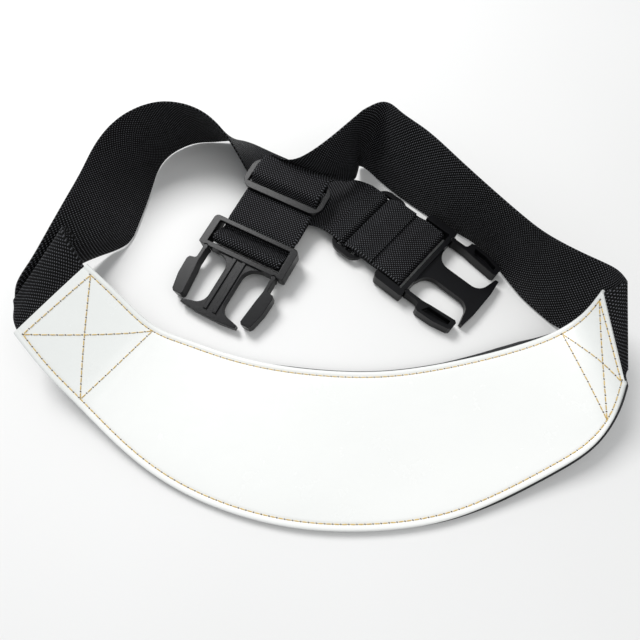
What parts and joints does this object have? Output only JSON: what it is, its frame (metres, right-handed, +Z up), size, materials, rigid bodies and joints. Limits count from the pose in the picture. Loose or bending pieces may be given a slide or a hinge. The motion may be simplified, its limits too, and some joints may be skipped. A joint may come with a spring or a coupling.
{
  "type": "horse breastplate",
  "caption": "Curved padded vinyl breast panel with webbing straps sewn into its ends, each strap threaded through a slider and a male side-release plug.",
  "frame": {"origin": "centre of the laid-out object's footprint, on the table top", "axes": "+X from the panel's left end to its right end, +Y from the panel towards the straps, +Z up"},
  "size_m": [0.3392, 0.2697, 0.0506],
  "materials": {
    "vinyl_face": "gloss",
    "vinyl_lining": "matte",
    "padding": "matte",
    "webbing": "satin",
    "thread": "satin",
    "moulded_plastic": "satin"
  },
  "bodies": {
    "panel_and_straps": {"panel_face": "vinyl_face", "panel_lining": "vinyl_lining", "panel_core": "padding", "left_strap": "webbing", "right_strap": "webbing", "left_strap_loop": "webbing", "right_strap_loop": "webbing", "border_stitching": "thread", "left_box_stitching": "thread", "right_box_stitching": "thread"},
    "left_plug": {"left_plug_frame": "moulded_plastic"},
    "left_prong_a": {"left_plug_prong_a": "moulded_plastic"},
    "left_prong_b": {"left_plug_prong_b": "moulded_plastic"},
    "left_slider": {"left_slider": "moulded_plastic"},
    "right_plug": {"right_plug_frame": "moulded_plastic"},
    "right_prong_a": {"right_plug_prong_a": "moulded_plastic"},
    "right_prong_b": {"right_plug_prong_b": "moulded_plastic"},
    "right_slider": {"right_slider": "moulded_plastic"}
  },
  "joints": [
    {"name": "left_plug_swing", "type": "hinge", "parent": "panel_and_straps", "child": "left_plug", "pos_m": [-0.04457, 0.0323, 0.01002], "axis": [0.8829, -0.4695, 0], "range_deg": [-8, 24]},
    {"name": "left_prong_a_squeeze", "type": "hinge", "parent": "left_plug", "child": "left_prong_a", "pos_m": [-0.02716, 0.01114, 0.00862], "axis": [0.0531, 0.1, -0.9936], "range_deg": [0, 8], "stiffness_Nm_per_rad": 0.5},
    {"name": "left_prong_b_squeeze", "type": "hinge", "parent": "left_plug", "child": "left_prong_b", "pos_m": [-0.07184, 0.0349, 0.00862], "axis": [-0.0531, -0.1, 0.9936], "range_deg": [0, 8], "stiffness_Nm_per_rad": 0.5},
    {"name": "left_slider_slide", "type": "slide", "parent": "panel_and_straps", "child": "left_slider", "axis": [-0.4665, -0.8773, -0.1132], "range_m": [0, 0.008], "deforming": ["right_strap_loop"]},
    {"name": "right_plug_swing", "type": "hinge", "parent": "panel_and_straps", "child": "right_plug", "pos_m": [0.06557, 0.02962, 0.0052], "axis": [-0.6626, -0.749, 0], "range_deg": [-8, 24]},
    {"name": "right_prong_a_squeeze", "type": "hinge", "parent": "right_plug", "child": "right_prong_a", "pos_m": [0.05674, 0.00364, 0.00503], "axis": [0.0261, -0.0231, 0.9994], "range_deg": [0, 8], "stiffness_Nm_per_rad": 0.5},
    {"name": "right_prong_b_squeeze", "type": "hinge", "parent": "right_plug", "child": "right_prong_b", "pos_m": [0.09027, 0.04154, 0.00503], "axis": [-0.0261, 0.0231, -0.9994], "range_deg": [0, 8], "stiffness_Nm_per_rad": 0.5},
    {"name": "right_slider_slide", "type": "slide", "parent": "panel_and_straps", "child": "right_slider", "axis": [0.7485, -0.6622, -0.0349], "range_m": [0, 0.006], "deforming": ["left_strap_loop"]}
  ]
}
